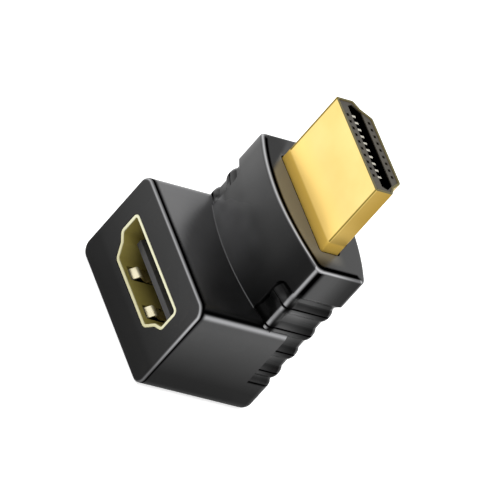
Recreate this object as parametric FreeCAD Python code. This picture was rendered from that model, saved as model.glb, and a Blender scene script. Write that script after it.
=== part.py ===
import FreeCAD, Part
import math
import os

# Right angle video adapter: a plug that points up, a socket that faces the front,
# and a black moulded body round both.
# Millimetres. X runs across, Y from the socket's face to the back, Z up along the plug.
# The origin is the middle of the flat underside.

# Plug outline, of the 19-contact video connector standard.
# Depths are measured from the wide face towards the narrow one.
plug_width = 13.9
plug_height = 4.45
straight_side = 2.45
shoulder_run = 1.05
shoulder_drop = 0.6
slant_run = 1.05
wide_corner_radius = 0.25
shoulder_radius = 0.3
narrow_corner_radius = 0.5
sharpest_radius = 0.02

# Plug
plug_reach = 10.1             # free length above the body's end face
plug_root = 3.75              # length of the shell inside the body
plug_sheet = 0.3
plug_insulator_setback = 0.12   # its tip lies this far inside the shell's tip
plug_insulator_foot = 0.4     # its base stands this far out of the shell's root
slot_depth = 9.0
slot_height = 1.7
slot_near_half = 6.0          # half length of the slot's edge nearest the wide face
slot_middle_half = 6.35
slot_far_half = 5.4
slot_middle_share = 0.42      # height of the slot's pointed ends, as a share of its height

# Contacts
contact_pitch = 1.0
wide_row_count = 10
narrow_row_count = 9
plug_contact_width = 0.3
socket_contact_width = 0.4
contact_sheet = 0.2
contact_crown = 0.55          # how far a plug contact bows into the slot
contact_hook_drop = 0.87      # from a plug contact's tip down to the end of its bow
contact_bow_length = 2.6
contact_tip_depth = 0.15      # wide row, below the insulator's tip
hidden_tip_depth = 1.3        # narrow row, below the insulator's tip
contact_tail = 1.8            # length soldered to the board
channel_width = 0.52
channel_depth = 0.36
channel_lid = 0.5             # insulator left over each channel at the tip
core_hole_width = 0.42
core_hole_height = 0.36
core_hole_depth = 0.4
core_hole_offset = 0.58       # from the slot's long side to the middle of a core hole

# Socket
mating_clearance = 0.05       # opening outside the plug's outline, on each side
socket_sheet = 0.4
socket_base_depth = 3.1       # of the insulator, between the cavity's floor and the board
tongue_width = 11.2
tongue_height = 1.2
tongue_setback = 1.5
tongue_tip_height = 0.72
tongue_tip_taper = 0.5
tongue_centre_depth = 2.2     # from the wide side of the outline to the middle of the tongue
socket_contact_setback = 0.9  # behind the tongue's tip
socket_contact_tail = 0.5     # beyond the back of the board

# Spring fingers of the socket's shell, a pair in each long wall
finger_spacing = 5.65
finger_width = 1.5
finger_sheet = 0.25
finger_crown = 0.55
finger_window_width = 2.05
finger_window_start = 0.75
finger_window_length = 5.2
finger_tip_gap = 0.3
finger_crown_back = 1.35      # from the window's front edge to the finger's crown
finger_crown_run = 0.45       # from the crown to the bend on either side of it
finger_relief = 0.45          # room behind each window

# Circuit board
board_thickness = 1.0
board_foot = 2.9              # height of its lower edge
board_side_margin = 0.2       # beyond each side of the socket's shell

# Body
body_width = 20.5
body_depth = 17.5
end_face_height = 22.5
block_height = 12.8
block_bottom_radius = 1.35
block_top_radius = 1.4
face_edge_radius = 0.35
end_edge_radius = 0.4
base_corner_radius = 1.4
socket_wide_height = 8.95     # height of the opening's wide side

# Arm: a barrel section, crowned at the front and the back
arm_depth = 10.3              # from the front crown to the back crown
plug_offset = 0.475           # from the arm's middle to the plug's, towards the back
crown_rise = 1.8
arm_corner_radius = 0.5

# Grip: ribs across both sides of the arm, round its corners
grip_edge = 7.55              # half distance between the two grips, across the front
grip_edge_radius = 1.3
grip_top = 18.15
grip_bottom = 4.5
block_side_reach = 5.3        # the block's sides run this far past the front crown
grip_corner_radius = 0.6
head_slope = 0.65
groove_depth = 0.42
crest_depth = 0.18
rib_count = 4
rib_length = 1.95
rib_pitch = 3.17
first_rib_top = 17.05
rib_fullness = 2.6
rib_steps = 4
last_rise_top = 5.5
last_rise_length = 0.75
crease_depth = 0.09
crease_width = 0.12

# Inner mould
outer_wall = 1.7
inner_mould_start = 6.6       # behind the spring fingers, from the socket's face
inner_mould_top = 20.7

# A cutting tool runs this far past the faces that it opens
over_cut = 1.0
core_lap = 0.05

# Places worked out from the sizes above
face_y = -body_depth / 2
half_width = body_width / 2
back_apex_y = face_y + body_depth
front_apex_y = back_apex_y - arm_depth
block_back_y = front_apex_y + block_side_reach
crown_radius = (half_width ** 2 + crown_rise ** 2) / (2 * crown_rise)
plug_wide_y = (front_apex_y + back_apex_y - plug_height) / 2 + plug_offset
plug_tip_z = end_face_height + plug_reach
plug_root_z = end_face_height - plug_root
insulator_tip_z = plug_tip_z - plug_insulator_setback
insulator_base_z = plug_root_z - plug_insulator_foot
slot_bottom_z = insulator_tip_z - slot_depth
board_centre_y = plug_wide_y + tongue_centre_depth
board_front_y = board_centre_y - board_thickness / 2
board_back_y = board_centre_y + board_thickness / 2
board_width = plug_width + 2 * (mating_clearance + socket_sheet + board_side_margin)
tongue_centre_z = socket_wide_height - mating_clearance - tongue_centre_depth
tongue_tip_y = face_y + tongue_setback
cavity_floor_y = board_front_y - socket_base_depth
inner_opening_low_z = socket_wide_height - plug_height - 2 * mating_clearance
relief_reach = socket_sheet + finger_relief


# A unit vector along (u, v)
def unit(u, v):
    length = math.hypot(u, v)
    return u / length, v / length


# The two directions that meet at one corner of a closed outline
def directions(corners, index):
    before = corners[index - 1]
    here = corners[index]
    after = corners[(index + 1) % len(corners)]
    arriving = unit(here[0] - before[0], here[1] - before[1])
    leaving = unit(after[0] - here[0], after[1] - here[1])
    return arriving, leaving


# Moves every side of an outline outward by the same distance.
# Corners are (u, v, radius), counterclockwise.
def grown(corners, distance):
    result = []
    for index, (u, v, radius) in enumerate(corners):
        arriving, leaving = directions(corners, index)
        across = arriving[0] * leaving[0] + arriving[1] * leaving[1]
        turn = arriving[0] * leaving[1] - arriving[1] * leaving[0]
        shift = distance / (1 + across)
        new_radius = max(radius + math.copysign(distance, turn), sharpest_radius)
        new_u = u + shift * (arriving[1] + leaving[1])
        new_v = v - shift * (arriving[0] + leaving[0])
        result.append((new_u, new_v, new_radius))
    return result


# A flat face with straight sides and round corners. place(u, v) gives the point in space.
def rounded_face(corners, place):
    bends = []
    for index, (u, v, radius) in enumerate(corners):
        arriving, leaving = directions(corners, index)
        across = arriving[0] * leaving[0] + arriving[1] * leaving[1]
        half_turn = math.acos(max(-1.0, min(1.0, across))) / 2
        setback = radius * math.tan(half_turn)
        inward = unit(leaving[0] - arriving[0], leaving[1] - arriving[1])
        sag = radius / math.cos(half_turn) - radius
        start = place(u - arriving[0] * setback, v - arriving[1] * setback)
        middle = place(u + inward[0] * sag, v + inward[1] * sag)
        end = place(u + leaving[0] * setback, v + leaving[1] * setback)
        bends.append((start, middle, end))
    edges = []
    for index, (start, middle, end) in enumerate(bends):
        next_start = bends[(index + 1) % len(bends)][0]
        edges.append(Part.Arc(start, middle, end).toShape())
        edges.append(Part.LineSegment(end, next_start).toShape())
    return Part.Face(Part.Wire(edges))


# A box between two corners
def box(low, high):
    size = [high[axis] - low[axis] for axis in range(3)]
    return Part.makeBox(size[0], size[1], size[2], FreeCAD.Vector(*low))


# The plug's outline grown outward by a distance; v runs from the wide side to the narrow one
def connector_outline(distance):
    half = plug_width / 2
    shoulder_half = half - shoulder_run
    narrow_half = shoulder_half - slant_run
    shoulder_v = straight_side + shoulder_drop
    right = [
        (half, 0, wide_corner_radius),
        (half, straight_side, shoulder_radius),
        (shoulder_half, shoulder_v, shoulder_radius),
        (narrow_half, plug_height, narrow_corner_radius),
    ]
    left = [(-u, v, radius) for u, v, radius in reversed(right)]
    return grown(right + left, distance)


# A solid with the plug's outline, upright between two heights
def plug_form(distance, low_z, high_z):
    def place(u, v):
        return FreeCAD.Vector(u, plug_wide_y + v, low_z)
    face = rounded_face(connector_outline(distance), place)
    return face.extrude(FreeCAD.Vector(0, 0, high_z - low_z))


# A solid with the same outline, level, wide side up, between two depths
def socket_form(distance, front_y, back_y):
    wide_z = socket_wide_height - mating_clearance

    def place(u, v):
        return FreeCAD.Vector(u, front_y, wide_z - v)
    face = rounded_face(connector_outline(distance), place)
    return face.extrude(FreeCAD.Vector(0, back_y - front_y, 0))


# A strip of sheet bent along a line of points in the YZ plane, centred on x
def bent_strip(points, thickness, width, x):
    near = []
    far = []
    for index, (y, z) in enumerate(points):
        before = points[max(index - 1, 0)]
        after = points[min(index + 1, len(points) - 1)]
        arriving = unit(y - before[0], z - before[1]) if index else None
        leaving = unit(after[0] - y, after[1] - z) if index < len(points) - 1 else None
        first = arriving or leaving
        second = leaving or arriving
        across = first[0] * second[0] + first[1] * second[1]
        shift = thickness / 2 / (1 + across)
        side_y = shift * (first[1] + second[1])
        side_z = -shift * (first[0] + second[0])
        near.append(FreeCAD.Vector(x - width / 2, y + side_y, z + side_z))
        far.append(FreeCAD.Vector(x - width / 2, y - side_y, z - side_z))
    outline = near + far[::-1]
    face = Part.Face(Part.makePolygon(outline + outline[:1]))
    return face.extrude(FreeCAD.Vector(width, 0, 0))


# Places of one row of contacts across the connector
def row_places(count):
    first = -(count - 1) * contact_pitch / 2
    return [first + index * contact_pitch for index in range(count)]


# The arm's section, drawn in by a distance: four corner arcs, two crowns and two flat sides
def barrel_wire(inset, corner_radius, z):
    half = half_width - inset
    crown = crown_radius - inset
    reach = half - corner_radius
    drop = math.sqrt((crown - corner_radius) ** 2 - reach ** 2)
    crown_u, crown_v = unit(reach, drop)
    tangent_x = crown_u * crown
    tangent_y = crown_v * crown
    middle_u, middle_v = unit(1 + crown_u, crown_v)
    middle_x = reach + corner_radius * middle_u
    middle_y = drop + corner_radius * middle_v
    front_centre = front_apex_y + crown_radius
    back_centre = back_apex_y - crown_radius

    def front(x, y):
        return FreeCAD.Vector(x, front_centre - y, z)

    def back(x, y):
        return FreeCAD.Vector(x, back_centre + y, z)

    edges = [
        Part.LineSegment(front(half, drop), back(half, drop)),
        Part.Arc(back(half, drop), back(middle_x, middle_y), back(tangent_x, tangent_y)),
        Part.Arc(back(tangent_x, tangent_y), back(0, crown), back(-tangent_x, tangent_y)),
        Part.Arc(back(-tangent_x, tangent_y), back(-middle_x, middle_y), back(-half, drop)),
        Part.LineSegment(back(-half, drop), front(-half, drop)),
        Part.Arc(front(-half, drop), front(-middle_x, middle_y), front(-tangent_x, tangent_y)),
        Part.Arc(front(-tangent_x, tangent_y), front(0, crown), front(tangent_x, tangent_y)),
        Part.Arc(front(tangent_x, tangent_y), front(middle_x, middle_y), front(half, drop)),
    ]
    return Part.Wire([edge.toShape() for edge in edges])


# The arm's section as an upright solid between two heights
def barrel(inset, corner_radius, low_z, high_z):
    face = Part.Face(barrel_wire(inset, corner_radius, low_z))
    return face.extrude(FreeCAD.Vector(0, 0, high_z - low_z))


# Heights and depths of the grip's surface, from the head down.
# A rib bulges by 1 - |2s - 1|^fullness over its length, with a fine crease along its crest.
def grip_levels():
    levels = [(grip_top + core_lap, -core_lap), (grip_top - head_slope, groove_depth)]
    for rib in range(rib_count):
        top = first_rib_top - rib * rib_pitch
        for step in range(rib_steps + 1):
            share = (1 - math.cos(math.pi * step / rib_steps)) / 2
            bulge = 1 - abs(2 * share - 1) ** rib_fullness
            z = top - share * rib_length
            depth = groove_depth - bulge * (groove_depth - crest_depth)
            if step * 2 == rib_steps:
                levels.append((z + crease_width / 2, depth))
                levels.append((z, depth + crease_depth))
                levels.append((z - crease_width / 2, depth))
            else:
                levels.append((z, depth))
    levels.append((last_rise_top, groove_depth))
    levels.append((last_rise_top - last_rise_length, crest_depth))
    levels.append((grip_bottom + crease_width, crest_depth))
    levels.append((grip_bottom - core_lap, crest_depth + crease_depth))
    return levels


# What the two grips take off the arm
def grip_cut():
    sections = [barrel_wire(depth, grip_corner_radius, z) for z, depth in grip_levels()]
    core = Part.makeLoft(sections, True, True)
    outside = half_width + over_cut
    low = grip_bottom
    zones = []
    for side in (1, -1):
        corners = [
            (grip_edge, low, sharpest_radius),
            (outside, low, sharpest_radius),
            (outside, grip_top, sharpest_radius),
            (grip_edge, grip_top, grip_edge_radius),
        ]

        def place(u, v):
            return FreeCAD.Vector(side * u, face_y, v)
        face = rounded_face(corners, place)
        zones.append(face.extrude(FreeCAD.Vector(0, body_depth + over_cut, 0)))
    return Part.makeCompound([zone.cut(core) for zone in zones])


# The arm, with a rounded end face and both grips
def arm():
    solid = barrel(0, arm_corner_radius, grip_bottom, end_face_height)
    end_edges = [edge for edge in solid.Edges if edge.BoundBox.ZMin > end_face_height - core_lap]
    solid = solid.makeFillet(end_edge_radius, end_edges)
    return solid.cut(grip_cut())


# The socket block with the base that runs on under the arm
def block():
    solid = barrel(0, base_corner_radius, 0, block_height)
    ahead = box((-half_width, face_y, 0), (half_width, block_back_y, block_height))
    solid = solid.fuse(ahead).removeSplitter()
    behind = box(
        (-half_width - over_cut, block_back_y, grip_bottom),
        (half_width + over_cut, body_depth, block_height + over_cut),
    )
    return round_block_edges(solid.cut(behind))


# Rounds the block's long edges, the lower back edge and then the edge of the socket's face
def round_block_edges(solid):
    low_edges = []
    top_edges = []
    for edge in solid.Edges:
        bounds = edge.BoundBox
        if bounds.YMax < face_y + core_lap:
            continue
        if bounds.ZMax < core_lap:
            low_edges.append(edge)
        elif bounds.ZMin > block_height - core_lap and bounds.XLength < core_lap:
            top_edges.append(edge)
    solid = solid.makeFillet(block_bottom_radius, low_edges)
    solid = solid.makeFillet(block_top_radius, round_again(solid, top_edges))
    face_edges = [edge for edge in solid.Edges if edge.BoundBox.YMax < face_y + core_lap]
    return solid.makeFillet(face_edge_radius, face_edges)


# The edges of a changed solid that lie where the given edges lay
def round_again(solid, edges):
    centres = [edge.CenterOfMass for edge in edges]
    return [edge for edge in solid.Edges
            if any(edge.CenterOfMass.distanceToPoint(centre) < core_lap for centre in centres)]


# The stiff first moulding, before the connectors and the board are taken out of it
def inner_mould_form():
    top_z = block_height - outer_wall
    upright = barrel(outer_wall, grip_corner_radius, outer_wall, inner_mould_top)
    half = half_width - outer_wall
    level = box((-half, face_y + inner_mould_start, outer_wall), (half, board_centre_y, top_z))
    return upright.fuse(level).removeSplitter()


# Places of the spring fingers: x, the wall's inner height, and the direction into the opening
def finger_places():
    places = []
    for x in (-finger_spacing / 2, finger_spacing / 2):
        places.append((x, socket_wide_height, -1))
        places.append((x, inner_opening_low_z, 1))
    return places


# The room that one finger's window takes, out to a distance behind the wall's inner face
def finger_window(x, wall_z, inward, reach):
    front_y = face_y + finger_window_start
    back_y = front_y + finger_window_length
    heights = sorted((wall_z + inward * core_lap, wall_z - inward * reach))
    half = finger_window_width / 2
    return box((x - half, front_y, heights[0]), (x + half, back_y, heights[1]))


# One spring finger, rooted behind its window and crowned near the socket's mouth
def finger(x, wall_z, inward):
    front_y = face_y + finger_window_start
    back_y = front_y + finger_window_length
    crown_y = front_y + finger_crown_back
    sheet_z = wall_z - inward * socket_sheet / 2
    crown_z = wall_z + inward * (finger_crown - finger_sheet / 2)
    soft_z = wall_z + inward * (finger_crown - finger_sheet)
    points = [
        (front_y + finger_tip_gap, sheet_z),
        (crown_y - finger_crown_run, soft_z),
        (crown_y, crown_z),
        (crown_y + finger_crown_run, soft_z),
        (back_y, sheet_z),
        (back_y + socket_sheet, sheet_z),
    ]
    return bent_strip(points, finger_sheet, finger_width, x)


# Socket shell: a drawn sleeve with four spring fingers
def socket_shell():
    outer = socket_form(mating_clearance + socket_sheet, face_y, board_front_y)
    inner = socket_form(mating_clearance, face_y - over_cut, board_front_y + over_cut)
    shell = outer.cut(inner)
    for x, wall_z, inward in finger_places():
        shell = shell.cut(finger_window(x, wall_z, inward, socket_sheet + core_lap))
        shell = shell.fuse(finger(x, wall_z, inward))
    return shell.removeSplitter()


# The socket's contacts of one row, from the tongue through the board
def socket_contacts(count, side):
    outer_z = tongue_centre_z + side * tongue_height / 2
    inner_z = outer_z - side * contact_sheet
    heights = sorted((outer_z, inner_z))
    front_y = tongue_tip_y + socket_contact_setback
    back_y = board_back_y + socket_contact_tail
    half = socket_contact_width / 2
    return [
        box((x - half, front_y, heights[0]), (x + half, back_y, heights[1]))
        for x in row_places(count)
    ]


# Socket insulator: a base that closes the shell, and the tongue with its tapered tip
def socket_insulator(contacts):
    base = socket_form(mating_clearance, cavity_floor_y, board_front_y)
    half = tongue_height / 2
    tip_half = tongue_tip_height / 2
    taper_y = tongue_tip_y + tongue_tip_taper
    side_view = [
        (cavity_floor_y, half), (taper_y, half), (tongue_tip_y, tip_half),
        (tongue_tip_y, -tip_half), (taper_y, -half), (cavity_floor_y, -half), (cavity_floor_y, half),
    ]
    points = [FreeCAD.Vector(-tongue_width / 2, y, tongue_centre_z + z) for y, z in side_view]
    tongue = Part.Face(Part.makePolygon(points)).extrude(FreeCAD.Vector(tongue_width, 0, 0))
    return base.fuse(tongue).cut(Part.makeCompound(contacts)).removeSplitter()


# Plug shell: a drawn sleeve, open at both ends
def plug_shell():
    outer = plug_form(0, plug_root_z, plug_tip_z)
    inner = plug_form(-plug_sheet, plug_root_z - over_cut, plug_tip_z + over_cut)
    return outer.cut(inner)


# One side of the plug: -1 is the wide row, in front of the board, and 1 the narrow row
def slot_wall_y(side):
    return board_centre_y + side * slot_height / 2


# The plug's contacts of one row. Each has a hooked tip on the slot's wall, bows into the slot
# below it, and ends on the board.
def plug_contacts(count, side, tip_depth):
    wall_y = slot_wall_y(side)
    rest_y = wall_y + side * contact_sheet / 2
    bow_y = wall_y - side * (contact_crown - contact_sheet / 2)
    tail_y = board_centre_y + side * (board_thickness + contact_sheet) / 2
    tip_z = insulator_tip_z - tip_depth
    bow_z = tip_z - contact_hook_drop
    points = [
        (wall_y, tip_z),
        (bow_y, tip_z),
        (bow_y, bow_z),
        (rest_y, bow_z - contact_bow_length),
        (rest_y, slot_bottom_z),
        (tail_y, insulator_base_z + contact_sheet),
        (tail_y, insulator_base_z - contact_tail),
    ]
    return [bent_strip(points, contact_sheet, plug_contact_width, x) for x in row_places(count)]


# The slot that takes the mating tongue, with pointed ends
def plug_slot():
    near_y = slot_wall_y(-1)
    middle_y = near_y + slot_middle_share * slot_height
    far_y = slot_wall_y(1)
    right = [(slot_near_half, near_y), (slot_middle_half, middle_y), (slot_far_half, far_y)]
    left = [(-x, y) for x, y in reversed(right)]
    outline = right + left
    points = [FreeCAD.Vector(x, y, slot_bottom_z) for x, y in outline + outline[:1]]
    face = Part.Face(Part.makePolygon(points))
    return face.extrude(FreeCAD.Vector(0, 0, slot_depth + over_cut))


# The channel that a contact flexes in, and the moulding's core hole over it
def contact_room(x, side):
    wall_y = slot_wall_y(side)
    channel_y = sorted((wall_y - side * core_lap, wall_y + side * channel_depth))
    channel_half = channel_width / 2
    channel_top = insulator_tip_z - channel_lid
    channel = box(
        (x - channel_half, channel_y[0], slot_bottom_z),
        (x + channel_half, channel_y[1], channel_top),
    )
    hole_y = wall_y + side * core_hole_offset
    hole_half = core_hole_width / 2
    hole_rise = core_hole_height / 2
    hole = box(
        (x - hole_half, hole_y - hole_rise, insulator_tip_z - core_hole_depth),
        (x + hole_half, hole_y + hole_rise, insulator_tip_z + over_cut),
    )
    return [channel, hole]


# Plug insulator: fills the shell, with the slot, the channels and the core holes
def plug_insulator(contacts):
    solid = plug_form(-plug_sheet, insulator_base_z, insulator_tip_z)
    rooms = [plug_slot()]
    for count, side in ((wide_row_count, -1), (narrow_row_count, 1)):
        for x in row_places(count):
            rooms += contact_room(x, side)
    return solid.cut(rooms).cut(Part.makeCompound(contacts)).removeSplitter()


# Circuit board, with a slot for each of the socket's contacts
def circuit_board(contacts):
    half = board_width / 2
    solid = box((-half, board_front_y, board_foot), (half, board_back_y, insulator_base_z))
    return solid.cut(Part.makeCompound(contacts))


# Outer body: block and arm, hollow for the inner mould and the board, open for both connectors
def outer_body(board):
    solid = block().fuse(arm()).removeSplitter()
    solid = solid.cut([inner_mould_form(), board])
    solid = solid.cut(plug_form(0, insulator_base_z, end_face_height + over_cut))
    solid = solid.cut(socket_form(mating_clearance + socket_sheet, face_y - over_cut, board_front_y))
    for x, wall_z, inward in finger_places():
        solid = solid.cut(finger_window(x, wall_z, inward, relief_reach))
    return solid.removeSplitter()


# Inner mould: its form less all that it surrounds
def inner_mould(board, pieces):
    solid = inner_mould_form()
    solid = solid.cut(plug_form(0, plug_root_z, end_face_height))
    solid = solid.cut(plug_form(-plug_sheet, insulator_base_z, plug_root_z))
    solid = solid.cut(socket_form(mating_clearance + socket_sheet, face_y, board_front_y))
    return solid.cut([board] + pieces).removeSplitter()


# Writes one piece as a node of its own
def write(name, shape):
    solid = shape.Solids[0] if len(shape.Solids) == 1 else shape
    print(name, len(shape.Solids), round(solid.Volume, 3), solid.isValid())
    solid.exportStep(os.path.join("parts", name + ".step"))


def main():
    os.makedirs("parts", exist_ok=True)
    socket_row = socket_contacts(wide_row_count, 1) + socket_contacts(narrow_row_count, -1)
    plug_row = plug_contacts(wide_row_count, -1, contact_tip_depth)
    plug_row += plug_contacts(narrow_row_count, 1, hidden_tip_depth)
    board = circuit_board(socket_row)
    write("outer_body", outer_body(board))
    write("inner_mould", inner_mould(board, socket_row + plug_row))
    write("plug_shell", plug_shell())
    write("plug_insulator", plug_insulator(plug_row))
    write("socket_shell", socket_shell())
    write("socket_insulator", socket_insulator(socket_row))
    write("circuit_board", board)
    for index, contact in enumerate(plug_row):
        write("plug_contact_%02d" % (index + 1), contact)
    for index, contact in enumerate(socket_row):
        write("socket_contact_%02d" % (index + 1), contact)


main()
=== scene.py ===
import math

import bmesh
import bpy
import numpy as np
from mathutils import Matrix


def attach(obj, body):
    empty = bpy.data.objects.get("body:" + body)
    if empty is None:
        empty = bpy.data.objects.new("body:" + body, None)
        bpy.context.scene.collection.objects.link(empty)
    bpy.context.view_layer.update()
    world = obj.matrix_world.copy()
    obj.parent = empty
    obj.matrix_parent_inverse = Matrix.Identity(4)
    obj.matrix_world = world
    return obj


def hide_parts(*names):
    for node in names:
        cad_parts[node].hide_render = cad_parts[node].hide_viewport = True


# Right angle video adapter: gold plug pointing up, gold socket facing the front, black moulded
# body. Shapes are worked out in millimetres and put into the meshes in metres.

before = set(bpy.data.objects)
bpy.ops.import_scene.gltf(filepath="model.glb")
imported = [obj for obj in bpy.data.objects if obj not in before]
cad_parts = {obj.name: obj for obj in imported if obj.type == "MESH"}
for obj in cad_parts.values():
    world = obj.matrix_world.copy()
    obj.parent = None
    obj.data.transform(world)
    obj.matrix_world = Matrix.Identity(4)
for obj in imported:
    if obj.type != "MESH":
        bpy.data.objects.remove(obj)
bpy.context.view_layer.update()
mm = 0.001
mergeDistance = 0.0015   # points closer than this, in millimetres, become one
flatDistance = 0.0005    # edges shorter than this are dissolved
sharpestRadius = 0.02    # smallest radius of a corner that is moved inward
print("frame: loaded", len(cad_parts), "nodes")


# Outlines and grids


# Each row of an array divided by its own length
def unitRows(rows):
    return rows / np.linalg.norm(rows, axis=1, keepdims=True)


# The corners' places, and the unit directions of the sides that arrive at and leave each one
def cornerSides(corners):
    here = corners[:, :2]
    arriving = unitRows(here - np.roll(here, 1, axis=0))
    leaving = unitRows(np.roll(here, -1, axis=0) - here)
    return here, arriving, leaving


# Corners (u, v, radius) moved outward by a distance: every side shifts along its normal,
# a convex corner's radius grows by the distance and a hollow one's shrinks by it.
def grownCorners(corners, distance):
    here, arriving, leaving = cornerSides(corners)
    across = (arriving * leaving).sum(axis=1)
    turn = arriving[:, 0] * leaving[:, 1] - arriving[:, 1] * leaving[:, 0]
    outward = np.stack([arriving[:, 1] + leaving[:, 1], -arriving[:, 0] - leaving[:, 0]], axis=1)
    moved = here + outward * (distance / (1 + across))[:, None]
    radius = np.maximum(corners[:, 2] + np.sign(turn) * distance, sharpestRadius)
    return np.column_stack([moved, radius])


# One arc at every corner: the direction from the arc's centre swings evenly from the first
# side's tangent point to the second's. Returns corners x steps x 2.
def cornerArcs(corners, steps):
    here, arriving, leaving = cornerSides(corners)
    radius = corners[:, 2:3]
    half = np.arccos(np.clip((arriving * leaving).sum(axis=1), -1, 1))[:, None] / 2
    centre = here + unitRows(leaving - arriving) * radius / np.cos(half)
    first = here - arriving * radius * np.tan(half) - centre
    last = here + leaving * radius * np.tan(half) - centre
    share = np.linspace(0, 1, steps + 1)[None, :]
    firstPart = np.sin((1 - share) * 2 * half) / np.sin(2 * half)
    lastPart = np.sin(share * 2 * half) / np.sin(2 * half)
    swing = firstPart[..., None] * first[:, None] + lastPart[..., None] * last[:, None]
    return centre[:, None] + swing


# Where rays from a centre, at the given angles, cross a closed outline that surrounds it:
# on the side from A to B the crossing is A + s (B - A), with s from the cross products.
def alongRays(outline, centre, angles):
    spokes = outline - np.asarray(centre)
    bearing = np.arctan2(spokes[:, 1], spokes[:, 0])
    order = np.argsort(bearing)
    spokes = spokes[order]
    bearing = bearing[order]
    second = np.searchsorted(bearing, angles, side="right") % len(bearing)
    a = spokes[second - 1]
    b = spokes[second]
    ray = np.stack([np.cos(angles), np.sin(angles)], axis=1)
    crossA = a[:, 0] * ray[:, 1] - a[:, 1] * ray[:, 0]
    crossB = b[:, 0] * ray[:, 1] - b[:, 1] * ray[:, 0]
    return centre + a + (b - a) * (crossA / (crossA - crossB))[:, None]


# Quads of a grid of rows x columns points, closed round the columns and, if asked, the rows
def gridQuads(grid, closeRows):
    rows, columns = grid.shape[:2]
    r = np.arange(rows if closeRows else rows - 1)[:, None]
    c = np.arange(columns)[None, :]
    nextRow = (r + 1) % rows
    nextColumn = (c + 1) % columns
    corners = (r * columns + c, r * columns + nextColumn,
               nextRow * columns + nextColumn, nextRow * columns + c)
    return np.stack(np.broadcast_arrays(*corners), axis=-1).reshape(-1, 4)


# Six times the volume that quads enclose; negative if they face inwards
def signedVolume(points, quads):
    a, b, c, d = (points[quads[:, k]] for k in range(4))
    return (np.cross(a, b) * c).sum() + (np.cross(a, c) * d).sum()


# Points and masks from rows listed one after another. A row is x, y, z and one amount for each
# mask, each of them a number or an array along the row.
def stackRows(rows, maskNames):
    table = np.array([np.broadcast_arrays(*row) for row in rows], float)
    masks = {name: table[:, 3 + k] for k, name in enumerate(maskNames)}
    return np.moveaxis(table[:, :3], 1, 2), masks


# Links an object to the scene and returns it
def addObject(name, data):
    made = bpy.data.objects.new(name, data)
    bpy.context.scene.collection.objects.link(made)
    return made


# Puts points (millimetres) and quads into a mesh object, with masks as attributes of its points
def addPiece(name, points, quads, masks, material, sharpAngle=38):
    points = points.reshape(-1, 3)
    if signedVolume(points, quads) < 0:
        quads = quads[:, ::-1]
    mesh = bpy.data.meshes.new(name)
    mesh.from_pydata((points * mm).tolist(), [], quads.tolist())
    for maskName, amounts in masks.items():
        layer = mesh.attributes.new(maskName, "FLOAT", "POINT")
        layer.data.foreach_set("value", np.asarray(amounts, float).ravel())
    work = bmesh.new()
    work.from_mesh(mesh)
    bmesh.ops.remove_doubles(work, verts=work.verts, dist=mergeDistance * mm)
    bmesh.ops.dissolve_degenerate(work, edges=work.edges, dist=flatDistance * mm)
    work.to_mesh(mesh)
    work.free()
    mesh.shade_smooth()
    mesh.set_sharp_from_angle(angle=math.radians(sharpAngle))
    mesh.materials.append(material)
    piece = addObject(name, mesh)
    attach(piece, "root")
    return piece


# 0 below the first edge, 1 above the second, and 3s^2 - 2s^3 between them
def smoothStep(low, high, value):
    s = np.clip((value - low) / (high - low), 0, 1)
    return s * s * (3 - 2 * s)


# Materials


def newMaterial(name):
    material = bpy.data.materials.new(name)
    material.use_nodes = True
    tree = material.node_tree
    place = tree.nodes.new("ShaderNodeTexCoord").outputs["Object"]
    return material, tree, tree.nodes["Principled BSDF"], place


# Gives a node's sockets their fixed values
def setInputs(node, values):
    for name, value in values.items():
        node.inputs[name].default_value = value


# Shared effect: fine moulding grain. A fine noise gives a height, and a cloudy one a tone.
def grainGroup():
    group = bpy.data.node_groups.new("mouldedGrain", "ShaderNodeTree")
    for name, kind in (("Place", "Vector"), ("Fine Scale", "Float"), ("Cloud Scale", "Float")):
        group.interface.new_socket(name=name, in_out="INPUT", socket_type="NodeSocket" + kind)
    for name in ("Height", "Tone"):
        group.interface.new_socket(name=name, in_out="OUTPUT", socket_type="NodeSocketFloat")
    start = group.nodes.new("NodeGroupInput")
    end = group.nodes.new("NodeGroupOutput")
    for scaleName, detail, result in (("Fine Scale", 4, "Height"), ("Cloud Scale", 3, "Tone")):
        noise = group.nodes.new("ShaderNodeTexNoise")
        setInputs(noise, {"Detail": detail})
        group.links.new(start.outputs["Place"], noise.inputs["Vector"])
        group.links.new(start.outputs[scaleName], noise.inputs["Scale"])
        group.links.new(noise.outputs["Fac"], end.inputs[result])
    return group


grain = grainGroup()


# Adds the grain to a material and returns its height and tone
def useGrain(tree, place, fineScale, cloudScale):
    node = tree.nodes.new("ShaderNodeGroup")
    node.node_tree = grain
    setInputs(node, {"Fine Scale": fineScale, "Cloud Scale": cloudScale})
    tree.links.new(place, node.inputs["Place"])
    return node.outputs["Height"], node.outputs["Tone"]


# A value spread over a new range
def spread(tree, value, fromLow, fromHigh, toLow, toHigh):
    node = tree.nodes.new("ShaderNodeMapRange")
    setInputs(node, {"From Min": fromLow, "From Max": fromHigh, "To Min": toLow, "To Max": toHigh})
    tree.links.new(value, node.inputs["Value"])
    return node.outputs["Result"]


# A value that goes from one amount below a height to another above a second height
def byHeight(tree, place, low, high, below, above):
    apart = tree.nodes.new("ShaderNodeSeparateXYZ")
    tree.links.new(place, apart.inputs["Vector"])
    return spread(tree, apart.outputs["Z"], low * mm, high * mm, below, above)


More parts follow.
